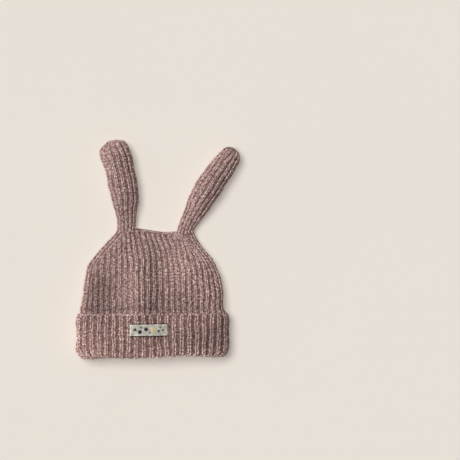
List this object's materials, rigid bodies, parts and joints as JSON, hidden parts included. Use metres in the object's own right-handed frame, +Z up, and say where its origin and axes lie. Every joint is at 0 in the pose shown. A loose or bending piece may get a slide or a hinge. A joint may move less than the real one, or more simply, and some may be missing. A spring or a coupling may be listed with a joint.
{
  "type": "baby hat with ears",
  "caption": "Ribbed knit baby beanie lying flat, with a turned-up cuff around an open mouth, a sewn-on cloth label and long padded ears on its top corners.",
  "frame": {"origin": "on the surface that the hat lies on, below the middle of its bounding box", "axes": "+X across the front to the wearer's left, +Y from the hem to the ear tips, +Z up through the front of the hat, away from the surface"},
  "size_m": [0.1914, 0.254, 0.0349],
  "materials": {
    "wool": "heathered dusty pink rib knit",
    "tape": "woven light grey tape"
  },
  "bodies": {
    "root": {"crown": "wool", "cuff": "wool", "ear_left": "wool", "ear_right": "wool", "label": "tape"}
  },
  "joints": []
}
